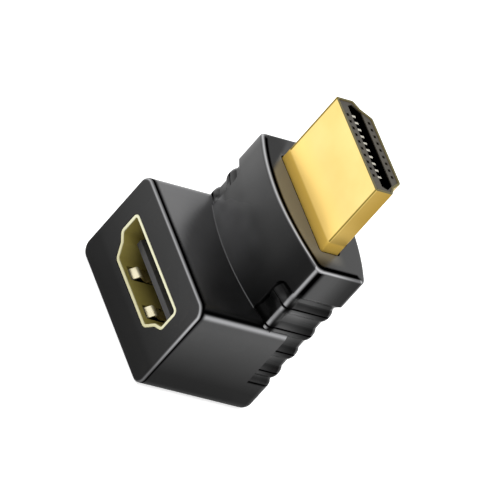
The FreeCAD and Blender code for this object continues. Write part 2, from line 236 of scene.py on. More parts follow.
# Two colours mixed by a mask; either may be a colour or a socket
def blendColours(tree, mask, first, second):
    node = tree.nodes.new("ShaderNodeMix")
    node.data_type = "RGBA"
    tree.links.new(mask, node.inputs["Factor"])
    sockets = [socket for socket in node.inputs if socket.type == "RGBA"]
    for socket, colour in zip(sockets, (first, second)):
        if hasattr(colour, "is_linked"):
            tree.links.new(colour, socket)
        else:
            socket.default_value = (*colour, 1)
    return [socket for socket in node.outputs if socket.type == "RGBA"][0]


# One of the piece's own masks, by its name
def pieceMask(tree, name):
    node = tree.nodes.new("ShaderNodeAttribute")
    node.attribute_name = name
    return node.outputs["Fac"]


# What every surface starts with: a colour between two tones by the cloudy noise, blended to a
# tone by each of the piece's masks, roughness between two values by the same noise, and a bump
# from the fine one.
def startSurface(name, look, cloudLow, cloudHigh, bumpDistance):
    material, tree, shader, place = newMaterial(name)
    height, tone = useGrain(tree, place, look["fineScale"], look["cloudScale"])
    cloud = spread(tree, tone, cloudLow, cloudHigh, 0, 1)
    colour = blendColours(tree, cloud, look["darkTone"], look["lightTone"])
    for maskName, maskTone in look.get("masks", {}).items():
        colour = blendColours(tree, pieceMask(tree, maskName), colour, maskTone)
    tree.links.new(spread(tree, tone, 0.3, 0.7, *look["roughness"]), shader.inputs["Roughness"])
    bump = tree.nodes.new("ShaderNodeBump")
    setInputs(bump, {"Strength": look["bump"], "Distance": bumpDistance})
    tree.links.new(height, bump.inputs["Height"])
    tree.links.new(bump.outputs["Normal"], shader.inputs["Normal"])
    shader.inputs["Specular Tint"].default_value = (*look.get("edgeTint", (1, 1, 1)), 1)
    return material, tree, shader, place, colour


# Moulded plastic. Painted shade (black and metal-like, so that it hardly shines) comes from a mask
# or from a height, all of it below and none above, whichever is more.
def plasticMaterial(name, look):
    material, tree, shader, place, colour = startSurface(name, look, 0.35, 0.65, 0.02 * mm)
    if "paintedShade" in look:
        low, high, most = look["paintedShade"]
        paintedShade = byHeight(tree, place, low, high, most, 0)
        if "paintedShadeMask" in look:
            darker = tree.nodes.new("ShaderNodeMath")
            darker.operation = "MAXIMUM"
            tree.links.new(paintedShade, darker.inputs[0])
            tree.links.new(pieceMask(tree, look["paintedShadeMask"]), darker.inputs[1])
            paintedShade = darker.outputs["Value"]
        colour = blendColours(tree, paintedShade, colour, look["paintedShadeTone"])
        tree.links.new(paintedShade, shader.inputs["Metallic"])
    tree.links.new(colour, shader.inputs["Base Color"])
    shader.inputs["Specular IOR Level"].default_value = look["specular"]
    return material


# Plated metal. A foot band below a height, over a soft edge, has a darker tone: a painted dark
# reflection on the plug's shell and painted shade on the plug's contacts. Metallic is one value,
# or goes from one to another between two heights. The edge tint colours the shine.
def goldMaterial(name, look):
    material, tree, shader, place, colour = startSurface(name, look, 0.3, 0.7, 0.01 * mm)
    if "foot" in look:
        low, high, most = look["foot"]
        foot = byHeight(tree, place, low, high, most, 0)
        colour = blendColours(tree, foot, colour, look["footTone"])
    tree.links.new(colour, shader.inputs["Base Color"])
    if isinstance(look["metal"], tuple):
        tree.links.new(byHeight(tree, place, *look["metal"]), shader.inputs["Metallic"])
    else:
        shader.inputs["Metallic"].default_value = look["metal"]
    return material


# On the body, one mask is a painted highlight where its edges catch the light and a painted
# sheen, one is painted shade where it is darker, with more painted shade towards the foot, and
# one is the plug's painted reflection on the end face.
bodyLook = {
    "darkTone": (0.004, 0.004, 0.0042), "lightTone": (0.007, 0.007, 0.0072),
    "masks": {"paintedLight": (0.36, 0.36, 0.37), "paintedReflection": (0.33, 0.31, 0.25)},
    "paintedShade": (2.9, 10.4, 0.71), "paintedShadeMask": "paintedShade", "paintedShadeTone": (0.0008, 0.0008, 0.0008),
    "fineScale": 9000, "cloudScale": 220, "roughness": (0.30, 0.34), "bump": 0.02,
    "specular": 1, "edgeTint": (0.26, 0.26, 0.26),
}
hiddenPlastic = {"fineScale": 7000, "cloudScale": 400, "bump": 0.05, "specular": 0.3}
# Plug moulding: painted near-black below its face, painted shade inside its slot and holes.
plugMouldingLook = {
    **hiddenPlastic, "darkTone": (0.030, 0.025, 0.017), "lightTone": (0.048, 0.041, 0.028),
    "roughness": (0.42, 0.52), "paintedShade": (32.3, 32.4, 1), "paintedShadeTone": (0.001, 0.001, 0.001),
}
socketMouldingLook = {
    **hiddenPlastic, "darkTone": (0.018, 0.018, 0.019), "lightTone": (0.027, 0.027, 0.029),
    "roughness": (0.4, 0.5),
}
innerLook = {
    **hiddenPlastic, "darkTone": (0.5, 0.49, 0.45), "lightTone": (0.62, 0.61, 0.57),
    "cloudScale": 300, "roughness": (0.5, 0.6), "specular": 0.4,
}
boardLook = {
    **hiddenPlastic, "darkTone": (0.012, 0.10, 0.03), "lightTone": (0.02, 0.14, 0.045),
    "fineScale": 9000, "cloudScale": 500, "roughness": (0.3, 0.4), "specular": 0.5,
}
brightGold = {
    "fineScale": 6000, "cloudScale": 600, "roughness": (0.25, 0.32), "bump": 0.02, "metal": 0.7,
}
# Plug gold: its sides are painted a browner gold (painted shade), its wide side is painted brightest
# low down (painted highlight) with painted dark edges (painted shade), and the foot band is a painted
# dark reflection of the end face.
plugGoldLook = {
    **brightGold, "darkTone": (0.63, 0.45, 0.15), "lightTone": (0.69, 0.52, 0.20),
    "masks": {"wall": (0.25, 0.155, 0.02), "low": (0.82, 0.57, 0.165), "lip": (0.10, 0.095, 0.055),
              "corner": (0.13, 0.095, 0.01)},
    "foot": (23.73, 23.97, 1), "footTone": (0.60, 0.39, 0.075), "edgeTint": (1, 0.8, 0.35),
    "cloudScale": 180, "roughness": (0.3, 0.36), "metal": (24.0, 28.5, 0.36, 0.58),
}
# Socket gold: darker than the plug's gold, painted shade for the socket's inside; further in it is
# painted darker still, and its lip gets a painted highlight.
socketGoldLook = {
    **brightGold, "darkTone": (0.25, 0.21, 0.05), "lightTone": (0.31, 0.26, 0.07),
    "masks": {"deepShade": (0.18, 0.135, 0.036), "lip": (0.53, 0.52, 0.36)},
    "cloudScale": 240, "roughness": (0.34, 0.42), "metal": 0.45,
}
# Fingers: a paler gold than the socket's, painted light where their crowns catch the light, with
# painted shade on the ramp behind each crown.
fingerLook = {
    **brightGold, "darkTone": (0.70, 0.64, 0.44), "lightTone": (0.78, 0.73, 0.54),
    "masks": {"ramp": (0.42, 0.33, 0.11)}, "cloudScale": 400,
}
# Plug contacts: painted near-black below the moulding's face, painted shade inside the slot.
plugContactLook = {
    **brightGold, "darkTone": (0.40, 0.38, 0.32), "lightTone": (0.47, 0.45, 0.38),
    "foot": (32.32, 32.43, 1), "footTone": (0.004, 0.003, 0.002),
}
socketContactLook = {
    **brightGold, "darkTone": (0.66, 0.62, 0.48), "lightTone": (0.74, 0.70, 0.58),
}

bodyPlastic = plasticMaterial("bodyPlastic", bodyLook)
plugMoulding = plasticMaterial("plugMoulding", plugMouldingLook)
socketMoulding = plasticMaterial("socketMoulding", socketMouldingLook)
innerPlastic = plasticMaterial("innerPlastic", innerLook)
boardLaminate = plasticMaterial("boardLaminate", boardLook)
plugGold = goldMaterial("plugGold", plugGoldLook)
socketGold = goldMaterial("socketGold", socketGoldLook)
fingerGold = goldMaterial("fingerGold", fingerLook)
plugContactGold = goldMaterial("plugContactGold", plugContactLook)
socketContactGold = goldMaterial("socketContactGold", socketContactLook)
print("materials: made")


# The outline that the plug and the socket share: half its width, its corners and their radii
connector = {
    "halfWidth": 6.95, "height": 4.45, "straightSide": 2.45,
    "shoulderRun": 1.05, "shoulderDrop": 0.6, "slantRun": 1.05,
    "wideRadius": 0.25, "shoulderRadius": 0.3, "narrowRadius": 0.5, "arcSteps": 9,
}


def connectorCorners():
    c = connector
    shoulder = c["halfWidth"] - c["shoulderRun"]
    right = [
        (c["halfWidth"], 0, c["wideRadius"]),
        (c["halfWidth"], c["straightSide"], c["shoulderRadius"]),
        (shoulder, c["straightSide"] + c["shoulderDrop"], c["shoulderRadius"]),
        (shoulder - c["slantRun"], c["height"], c["narrowRadius"]),
    ]
    left = [(-u, v, radius) for u, v, radius in reversed(right)]
    return np.array(right + left)


# The outline grown by a distance, with extra stops along its two long sides and more on the
# wide one; v runs from the wide side to the narrow one.
def connectorOutline(distance, stops=(), wideStops=()):
    arcs = cornerArcs(grownCorners(connectorCorners(), distance), connector["arcSteps"])
    narrow = np.sort(np.asarray(stops, float))[::-1]
    narrow = np.column_stack([narrow, np.full(len(narrow), arcs[3, -1, 1])])
    wide = np.sort(np.concatenate([stops, wideStops]))
    wide = np.column_stack([wide, np.full(len(wide), arcs[7, -1, 1])])
    return np.concatenate([arcs[:4].reshape(-1, 2), narrow, arcs[4:].reshape(-1, 2), wide])


# Rows of a sleeve's wall: each row is the outline grown by its own distance, at its own depth
def sleeveRows(distances, depths, stops=(), wideStops=()):
    rows = np.stack([connectorOutline(distance, stops, wideStops) for distance in distances])
    depth = np.broadcast_to(depths[:, None, None], rows[..., :1].shape)
    return np.concatenate([rows, depth], axis=2)


# A quarter turn as shares: how far in (from 1 to 0) and how far along (from 0 to 1)
def quarterTurn(steps):
    angle = np.linspace(0, math.pi / 2, steps + 1)
    return np.sin(angle), 1 - np.cos(angle)


# Plug shell. The painted dark reflection at its foot ends at bandTop, and the painted brighter
# gold over it at paleTop. The wide side's two edges have a painted dark band and a painted dark
# line, edgeBand and edgeLine wide.
plug = {
    "wideY": 1.85, "root": 18.75, "foot": 22.5, "tip": 32.6, "sheet": 0.3,
    "lip": 0.1, "lipSteps": 5,
    "bandTop": 23.95, "paleTop": 28, "edgeBand": 0.37, "edgeLine": 0.03,
}


# The wall's profile goes up the outside, over the round lip, and down the inside
def makePlugShell():
    p = plug
    lip = p["lip"]
    across, along = quarterTurn(p["lipSteps"])
    lipFoot = p["tip"] - lip
    outside = np.concatenate([
        [p["root"], p["foot"], p["bandTop"] - 0.1], np.linspace(p["bandTop"], p["paleTop"], 6),
        [lipFoot - 0.05],
    ])
    distances = np.concatenate([
        0 * outside, -lip * along, [-p["sheet"] / 2], -p["sheet"] + lip * along[::-1],
        [-p["sheet"], -p["sheet"]],
    ])
    heights = np.concatenate([
        outside, lipFoot + lip * across, [p["tip"]], lipFoot + lip * across[::-1],
        [lipFoot - 0.05, p["root"]],
    ])
    darkFrom = connector["halfWidth"] - p["edgeBand"]
    wideStops = [-darkFrom, -darkFrom + 0.06]
    rows = sleeveRows(distances, heights, np.linspace(-4.2, 4.2, 9), wideStops)
    x, depth, z = rows[..., 0], rows[..., 1], rows[..., 2]
    points = np.stack([x, p["wideY"] + depth, z], axis=-1)
    # painted shade and light: every side but the wide one is painted a browner gold; just above the
    # foot band the wide side is painted brightest, and the others are paler
    wall = smoothStep(0.1, 0.3, depth)
    low = (1 - 0.82 * wall) * (1 - smoothStep(p["bandTop"], p["paleTop"], z))
    # painted shade: the wide side's edges are painted dark, a band at -X and a fine line at +X
    line = np.exp(-((x - depth - darkFrom - 0.224) / p["edgeLine"]) ** 2)
    corner = np.where(x < 0, x < -darkFrom + 0.01, line)
    corner = corner * (depth < 0.2) * (z > p["bandTop"] - 0.01)
    rim = smoothStep(lipFoot, lipFoot + 0.4 * lip, z)
    masks = {"wall": wall, "low": low, "lip": rim, "corner": corner}
    quads = gridQuads(points, True)
    piece = addPiece("plug_shell_formed", points, quads, masks, plugGold)
    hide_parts("plug_shell")


makePlugShell()


# Socket shell and its spring fingers
socket = {
    "faceY": -8.75, "backY": 3.55, "wideZ": 8.9, "clearance": 0.05, "sheet": 0.4,
    "lip": 0.13, "lipSteps": 5,
    "fingerX": 2.825, "windowHalf": 1.025, "windowStart": 0.75, "windowLength": 5.2,
}
finger = {
    "width": 1.5, "sheet": 0.25, "crown": 0.55, "tipGap": 0.3, "crownBack": 1.12, "sideRun": 0.5,
    "rampShare": 0.42, "pathSteps": 44, "edgeRadius": 0.05,
}


# A sleeve whose two long walls have windows. The profile goes in along the inside and back
# along the outside, so each window is a block of quads left out of both, and four reveals.
def makeSocketShell():
    s = socket
    lip = s["lip"]
    across, along = quarterTurn(s["lipSteps"])
    near = s["clearance"]
    far = near + s["sheet"]
    windowEnd = s["windowStart"] + s["windowLength"]
    inside = np.array([lip + 0.05, s["windowStart"], windowEnd, s["backY"] - s["faceY"]])
    distances = np.concatenate([
        near + lip * along[::-1], [near] * 4, [far] * 4, far - lip * along, [(near + far) / 2],
    ])
    depths = np.concatenate([
        lip * (1 - across[::-1]), inside, inside[::-1], lip * (1 - across), [0],
    ])
    edges = [s["fingerX"] - s["windowHalf"], s["fingerX"] + s["windowHalf"]]
    stops = np.array([-edges[1], -edges[0], 0, edges[0], edges[1]])
    rows = sleeveRows(distances, depths, stops)
    x, down, depth = rows[..., 0], rows[..., 1], rows[..., 2]
    points = np.stack([x, s["faceY"] + depth, s["wideZ"] - down], axis=-1)
    columns = points.shape[1]
    quads = gridQuads(points, True)
    # the windows, as first columns of the left-out blocks
    arc = connector["arcSteps"] + 1
    narrowStart = 4 * arc
    wideStart = 8 * arc + len(stops)
    windows = [narrowStart, narrowStart + 3, wideStart, wideStart + 3]
    insideRow = s["lipSteps"] + 2
    outsideRow = insideRow + 4
    row = quads[:, 0] // columns
    column = quads[:, 0] % columns
    leftOut = np.isin(column, windows) & np.isin(row, [insideRow, outsideRow])
    reveals = []
    for first in windows:
        a = np.array([0, 1, columns + 1, columns]) + insideRow * columns + first
        b = np.array([columns, columns + 1, 1, 0]) + outsideRow * columns + first
        reveals.append(np.stack([np.roll(a, -1), a, b, np.roll(b, -1)], axis=1))
    quads = np.concatenate([quads[~leftOut]] + reveals)
    # painted highlight: the lip is pale, less so on the narrow side; further in, the gold is painted
    # darker (painted shade)
    pale = (1 - smoothStep(lip * 0.9, lip * 1.4, depth)) * (1 - 0.4 * smoothStep(1.5, 3.5, down))
    masks = {"lip": pale, "deepShade": smoothStep(0.5, 6, depth)}
    piece = addPiece("socket_shell_formed", points, quads, masks, socketGold, 30)
    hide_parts("socket_shell")


# A finger's middle line: level in the wall at both ends, with a round crown that follows
# height times exp(-(distance / run)^2), and a straight ramp from the crown back into the wall.
def fingerLine():
    s = socket
    f = finger
    start = s["windowStart"] + f["tipGap"]
    crown = s["windowStart"] + f["crownBack"]
    root = s["windowStart"] + s["windowLength"]
    share = np.linspace(0, 1, f["pathSteps"])
    depth = start + (root + s["sheet"] - start) * share ** 1.6
    rise = f["crown"] - f["sheet"] / 2 + s["sheet"] / 2
    bump = np.exp(-((depth - crown) / f["sideRun"]) ** 2)
    ramp = np.clip((root - depth) / (root - crown), 0, 1) * f["rampShare"]
    return depth, rise * np.where(depth > crown, ramp * (1 - bump) + bump, bump)


# The fingers: a rounded rectangle carried along the middle line, four times
def makeFingers():
    s = socket
    f = finger
    depth, height = fingerLine()
    slope = np.gradient(height, depth)
    along = unitRows(np.stack([np.ones_like(slope), slope], axis=1))
    normal = np.stack([-along[:, 1], along[:, 0]], axis=1)
    half = f["width"] / 2
    thick = f["sheet"] / 2
    corners = [(half, -thick), (half, thick), (-half, thick), (-half, -thick)]
    corners = np.array([(*corner, f["edgeRadius"]) for corner in corners])
    section = cornerArcs(corners, 3).reshape(-1, 2)
    # rows: the section at every step, and a closing point at each end
    line = np.stack([depth, height], axis=1)
    placed = line[:, None, :] + normal[:, None, :] * section[None, :, 1:2]
    x = np.broadcast_to(section[None, :, :1], placed[..., :1].shape)
    strip = np.concatenate([x, placed], axis=2)
    ends = [row.mean(axis=1, keepdims=True) + 0 * row for row in (strip[:1], strip[-1:])]
    strip = np.concatenate([ends[0], strip, ends[1]])
    quads = gridQuads(strip, False)
    wallMiddle = s["clearance"] + s["sheet"] / 2
    topWall = s["wideZ"] + wallMiddle
    lowWall = s["wideZ"] - connector["height"] - wallMiddle
    allPoints = []
    allQuads = []
    for x0 in (-s["fingerX"], s["fingerX"]):
        for wall, side in ((topWall, 1), (lowWall, -1)):
            points = np.array([x0, s["faceY"], wall]) + strip * np.array([1, 1, -side])
            points = points.reshape(-1, 3)
            turned = quads if signedVolume(points, quads) > 0 else quads[:, ::-1]
            allQuads.append(turned + len(allPoints) * len(points))
            allPoints.append(points)
    points = np.concatenate(allPoints)
    quads = np.concatenate(allQuads)
    crown = s["faceY"] + s["windowStart"] + f["crownBack"]
    # painted shade: each finger is painted darker behind its crown
    masks = {"ramp": smoothStep(crown - 0.15, crown + 0.25, points[:, 1])}
    addPiece("socket_fingers_formed", points, quads, masks, fingerGold)


makeSocketShell()
makeFingers()
print("connectors: plug shell, socket shell and fingers made")


# Body: the block, the arm and its grips
body = {
    "halfWidth": 10.25, "faceY": -8.75, "frontApex": -1.55, "backApex": 8.75, "crownRise": 1.8,
    "blockHeight": 12.8, "blockBack": 3.75, "blockBottomRadius": 1.35, "blockTopRadius": 1.4,
    "faceRadius": 0.35, "endHeight": 22.5, "endRadius": 0.4, "endCornerRadius": 1.05,
    "cornerRadius": 0.5, "gripCornerRadius": 0.6, "baseCornerRadius": 1.4, "joinRadius": 0.09,
}
grip = {
    "edge": 7.55, "edgeRadius": 1.3, "top": 18.15, "bottom": 4.5, "headSlope": 0.65,
    "groove": 0.42, "crest": 0.18, "ribs": 4, "ribLength": 1.95, "ribPitch": 3.17,
    "firstRibTop": 17.05, "fullness": 2.6, "lastRiseTop": 5.5, "lastRiseLength": 0.75,
    "crease": 0.12, "creaseHalf": 0.08, "edgeBlend": 0.09, "rimMiddle": 0.06, "rimWidth": 0.14,
}
crownRadius = (body["halfWidth"] ** 2 + body["crownRise"] ** 2) / (2 * body["crownRise"])
frontCentre = body["frontApex"] + crownRadius
backCentre = body["backApex"] - crownRadius


# Depth of the grip's surface at a height: a ramp down from the head, then for every rib
# groove - (1 - |2s - 1|^fullness) (groove - crest), with a V crease along the middle.
def gripDepth(z):
    g = grip
    depth = np.interp(z, [g["top"] - g["headSlope"], g["top"]], [g["groove"], 0])
    for rib in range(g["ribs"]):
        top = g["firstRibTop"] - rib * g["ribPitch"]
        share = np.clip((top - z) / g["ribLength"], 0, 1)
        bulge = 1 - np.abs(2 * share - 1) ** g["fullness"]
        depth = depth - bulge * (g["groove"] - g["crest"])
        middle = top - g["ribLength"] / 2
        depth = depth + g["crease"] * np.clip(1 - np.abs(z - middle) / g["creaseHalf"], 0, 1)
    rise = smoothStep(g["lastRiseTop"] - g["lastRiseLength"], g["lastRiseTop"], z)
    depth = np.where(z < g["lastRiseTop"], g["crest"] + rise * (g["groove"] - g["crest"]), depth)
    crease = g["crease"] * np.clip(1 - (z - g["bottom"]) / g["creaseHalf"], 0, 1)
    return depth + crease


# How far inside the grip's outline a point lies. The outline is upright at the grip's edge and
# turns by an arc to its top: beside the arc it is radius - distance from the arc's centre, and
# elsewhere the distance from the nearer straight side.
def insideGrip(x, z):
    g = grip
    x = np.abs(x)
    turnX = g["edge"] + g["edgeRadius"]
    turnZ = g["top"] - g["edgeRadius"]
    corner = g["edgeRadius"] - np.hypot(turnX - x, z - turnZ)
    straight = np.minimum(x - g["edge"], g["top"] - z)
    return np.where((x < turnX) & (z > turnZ), corner, straight)


# How much of the grip's depth applies at a point: 1 inside the outline, 0 outside, with a soft
# edge
def gripMask(x, z):
    return smoothStep(0, grip["edgeBlend"], insideGrip(x, z)) * (z >= grip["bottom"])


# How much painted shade the line round the grip's outline gets on the front: a narrow bell over
# the distance from the outline, fading out where it reaches the arm's side.
def gripRim(x, z):
    bell = np.exp(-((insideGrip(x, z) - grip["rimMiddle"]) / grip["rimWidth"]) ** 2)
    return bell * (1 - smoothStep(8.3, 9.1, np.abs(x)))


# How much painted shade the creases get at a height
def gripCrease(z):
    g = grip
    middles = g["firstRibTop"] - g["ribPitch"] * np.arange(g["ribs"]) - g["ribLength"] / 2
    nearest = min(np.abs(middles - z).min(), abs(z - g["bottom"]))
    return float(np.clip(2.2 - nearest / g["creaseHalf"], 0, 1))


lastFixed = 8.6      # X where the arm's fixed columns end
footMiddleY = 6.0    # middle of the base's underside
hiddenFrontY = 1.2   # inside the block the arm's front stops here
edgeSteps = 9        # steps round each of the body's round edges
leastRadius = 0.05   # smallest corner radius of the arm's section


# Columns of the arm's section, from the front's middle round by +X to the back's middle and
# home by -X: kind 0 keeps its X on the crown, 1 runs on to the corner, 2 is the corner arc,
# 3 is the flat side. The value is the X in kind 0 and a share from 0 to 1 in the others.
def armColumns():
    fixed = np.concatenate([np.arange(0, 7.3, 0.4), np.arange(7.4, lastFixed, 0.06)])
    run = np.array([0.25, 0.5, 0.7, 0.85, 0.94])
    arc = np.linspace(0, 1, 11)
    side = np.concatenate([
        [0.008, 0.02, 0.04, 0.06, 0.08], np.linspace(0.1, 0.2, 6), np.linspace(0.24, 0.96, 18),
        [0.99],
    ])
    kinds = np.concatenate([np.full(len(v), k) for k, v in enumerate((fixed, run, arc))])
    values = np.concatenate([fixed, run, arc])
    kind = np.concatenate([kinds, np.full(len(side), 3), kinds[::-1]])
    value = np.concatenate([values, side, values[::-1]])
    front = np.concatenate([np.ones(len(kinds)), np.zeros(len(side)), -np.ones(len(kinds))])
    hand = np.ones(len(kind))
    home = slice(-2, 0, -1)
    both = ((kind, kind), (value, value), (front, front), (hand, -hand))
    return tuple(np.concatenate([there, mirrored[home]]) for there, mirrored in both)


# Points of the section drawn in by an inset, with its own corner radius: crown circle of
# radius (crown - inset), corner circle tangent to it and to the flat side.
def armSection(columns, inset, radius):
    kind, value, front, hand = columns
    half = body["halfWidth"] - inset
    crown = crownRadius - inset
    reach = half - radius
    drop = np.sqrt((crown - radius) ** 2 - reach ** 2)
    firstAngle = np.arctan2(reach, drop)
    tangentX = crown * np.sin(firstAngle)
    crownX = np.where(kind == 0, value, lastFixed + value * (tangentX - lastFixed))
    crownH = np.sqrt(crown ** 2 - crownX ** 2)
    angle = firstAngle + value * (math.pi / 2 - firstAngle)
    arcX = reach + radius * np.sin(angle)
    arcH = drop + radius * np.cos(angle)
    x = np.where(kind < 2, crownX, np.where(kind == 2, arcX, half))
    h = np.where(kind < 2, crownH, arcH)
    sideY = (frontCentre - drop) + value * (backCentre + drop - frontCentre + drop)
    y = np.where(kind == 3, sideY, np.where(front > 0, frontCentre - h, backCentre + h))
    return hand * x, y


# Values in order, without those that lie nearer than a gap to the one before
def withGaps(values, gap):
    values = np.sort(values)
    return values[np.concatenate([[True], np.diff(values) > gap])]


# Heights of the arm's rows between the base and the head
def gripHeights():
    g = grip
    rows = [g["bottom"] + g["creaseHalf"] * np.array([0, 0.5, 1, 1.6]),
            np.linspace(g["lastRiseTop"] - g["lastRiseLength"], g["lastRiseTop"], 9)]
    for rib in range(g["ribs"]):
        top = g["firstRibTop"] - rib * g["ribPitch"]
        share = (1 - np.cos(math.pi * np.linspace(0, 1, 19))) / 2
        middle = top - g["ribLength"] / 2
        rows.append(top - share * g["ribLength"])
        rows.append(middle + g["creaseHalf"] * np.array([-1.5, -1, -0.6, -0.3, 0, 0.3, 0.6, 1, 1.5]))
    rows.append(np.arange(16.7, 18.4, 0.06))
    rows.append(g["top"] - g["headSlope"] * np.array([0, 0.5, 1]))
    return withGaps(np.concatenate(rows), 0.008)


# Painted light and shade on the end face. The plug's painted reflection starts at a slanting
# line, where x = lineX + lineSlope y, and is soft over twice lineBlend.
endFace = {
    "lineX": -4.9, "lineSlope": -1.25, "lineBlend": 0.55,
    "paintedReflection": 0.36, "dull": 0.5, "leastDull": 0.09,
}


# 0 left of the slanting line, 1 right of it
def beyondLine(x, y):
    e = endFace
    start = e["lineX"] + e["lineSlope"] * y
    return smoothStep(start - e["lineBlend"], start + e["lineBlend"], x)


# Painted reflection of the plug on the end face, in front of its wide side and beyond it at +X
def endReflection(x, y):
    across = beyondLine(x, y) * (1 - smoothStep(7.3, 9.3, x))
    behind = np.where(x < 0, smoothStep(1.8, 2.2, y), smoothStep(3.0, 5.2, y))
    return endFace["paintedReflection"] * across * (1 - behind)


# Painted shade on the end face: darker left of the plug's painted reflection, and a little
# everywhere
def endShade(x, y):
    left = (1 - beyondLine(x, y)) * (1 - smoothStep(2.0, 6.0, y))
    return np.maximum(endFace["dull"] * left, endFace["leastDull"])


# Soft touches of painted light and shade on the arm's front, each a round bell: its place in X
# and Z, its half sizes, and how much painted light and painted shade it adds
armTouches = [
    (-7.0, 13.2, 1.6, 0.9, 0.12, 0), (-4.6, 15.0, 1.1, 1.0, 0.115, 0),
    (-1.2, 17.1, 1.8, 1.2, 0.055, 0), (1.6, 17.2, 1.2, 1.0, 0.03, 0),
    (-4.4, 17.5, 1.1, 1.2, 0, 0.15), (-7.9, 14.8, 0.7, 1.0, 0, 0.28),
    (-7.2, 16.4, 0.9, 0.9, 0, -0.08), (-5.1, 14.8, 0.9, 0.6, 0, -0.08),
    (-4.0, 16.0, 0.7, 0.9, 0, -0.07),
]
# Painted shade and light on the arm's front, each as places in X and amounts
frontTones = {
    "highShade": ([-9.5, -8.5, -7, -5, -3, -1, 1, 3, 5, 7, 8.5],
                 [0.15, 0.27, 0.19, 0.18, 0.22, 0.21, 0.265, 0.36, 0.46, 0.67, 0.74]),
    "lowShade": ([-8, -6.5, -4, -3, 1, 5, 7.5], [0.48, 0.48, 0.3, 0, 0, 0.3, 0.35]),
    "lowLight": ([-9, -7.5, -6, -3, 0, 4, 7], [0, 0.06, 0.1, 0.13, 0.08, 0.03, 0]),
    "mirrorShade": ([-8.0, -7.6, -6.9, -6.3, -5.4, -4.4], [0.5, 0.21, 0.25, 0.03, 0.06, 0]),
}
# Painted shade on the arm's sides, each as places in Y and amounts
sideShades = {
    "plain": ([2.8, 3.5, 4.5, 5.5, 6.5], [0, 0.1, 0.37, 0.6, 0.66]),
    "rib": ([2.2, 2.8, 3.5, 4.5, 5.5, 6.5], [0, 0.1, 0.3, 0.56, 0.78, 0.85]),
    "topRib": ([2.8, 3.5, 4.5, 5.5, 6.5], [0.5, 0.62, 0.74, 0.82, 0.88]),
}


# Soft gradients of painted light and shade on the arm. Its front is painted darker towards +X
# high up and paler towards -X low down, its sides are painted darker towards the back, more so on
# the ribs and most on their upper halves. Returns the amounts of painted light and of painted
# shade.
def armGradients(points, columns):
    kind, _, front, _ = columns
    g = grip
    x, y, z = points[..., 0], points[..., 1], points[..., 2]
    tone = {name: np.interp(x, *curve) for name, curve in frontTones.items()}
    side = {name: np.interp(y, *curve) for name, curve in sideShades.items()}
    belowEnd = z < body["endHeight"] - 0.1
    aboveFoot = z > g["bottom"] + 0.1
    onFront = ((kind < 2) & (front > 0)) * belowEnd
    onSide = (kind == 3) * aboveFoot * belowEnd
    left = 1 - smoothStep(-5.5, -3.5, x)
    high = smoothStep(14.5 + 1.5 * left, 18.5 + left, z)
    low = (1 - high) * np.where(x < 0, smoothStep(14.0, 14.9, z), 1)
    paintedShade = onFront * (tone["highShade"] * high + tone["lowShade"] * low)
    # painted shade on the +X grip's own front
    paintedShade = np.maximum(paintedShade, onFront * 0.85 * (x > g["edge"]) * (1 - smoothStep(14.8, 15.2, z)))
    # a rib's share runs from 0 at its top to 1 at its bottom and above 1 in the groove under it
    share = (g["firstRibTop"] - z) % g["ribPitch"] / g["ribLength"]
    among = (z < g["firstRibTop"]) * (z > g["lastRiseTop"])
    onRib = among * smoothStep(0, 0.12, share) * (1 - smoothStep(0.88, 1, share))
    upper = onRib * (1 - smoothStep(0.45, 0.55, share))
    ribbed = side["plain"] + onRib * (side["rib"] - side["plain"])
    topmost = upper * side["topRib"] * smoothStep(15.5, 16.5, z)
    paintedShade = np.maximum(paintedShade, onSide * np.maximum(ribbed, topmost))
    # painted shade on the -X front corner: the ribs' lower halves are dark, the rest of the grip a
    # little darker
    corner = ((kind < 3) & (front > 0)) * aboveFoot * (z < 17.2) * (1 - smoothStep(-8.5, -8.1, x))
    paintedShade = np.maximum(paintedShade, corner * np.maximum(0.7 * (onRib - upper), 0.27))
    paintedLight = tone["lowLight"] * (1 - smoothStep(13.5, 18.8, z))
    for atX, atZ, halfX, halfZ, paler, darker in armTouches:
        bell = onFront * np.exp(-((x - atX) / halfX) ** 2 - ((z - atZ) / halfZ) ** 2)
        paintedLight = paintedLight + paler * bell
        paintedShade = paintedShade + darker * bell
    # the line where the block's top stops being mirrored in the crown is toned down with painted
    # shade
    mirrored = np.exp(-((z - 14.0 - 0.77 * (x + 7.75)) / 0.4) ** 2)
    paintedShade = paintedShade + onFront * mirrored * tone["mirrorShade"]
    # painted light: the topmost rib is paler where it turns the +X front corner
    topRib = smoothStep(15.0, 15.3, z) * (1 - smoothStep(16.8, 17.1, z))
    paintedLight = onFront * np.maximum(paintedLight, 0.07 * smoothStep(8.4, 9.3, x) * topRib)
    return paintedLight, paintedShade


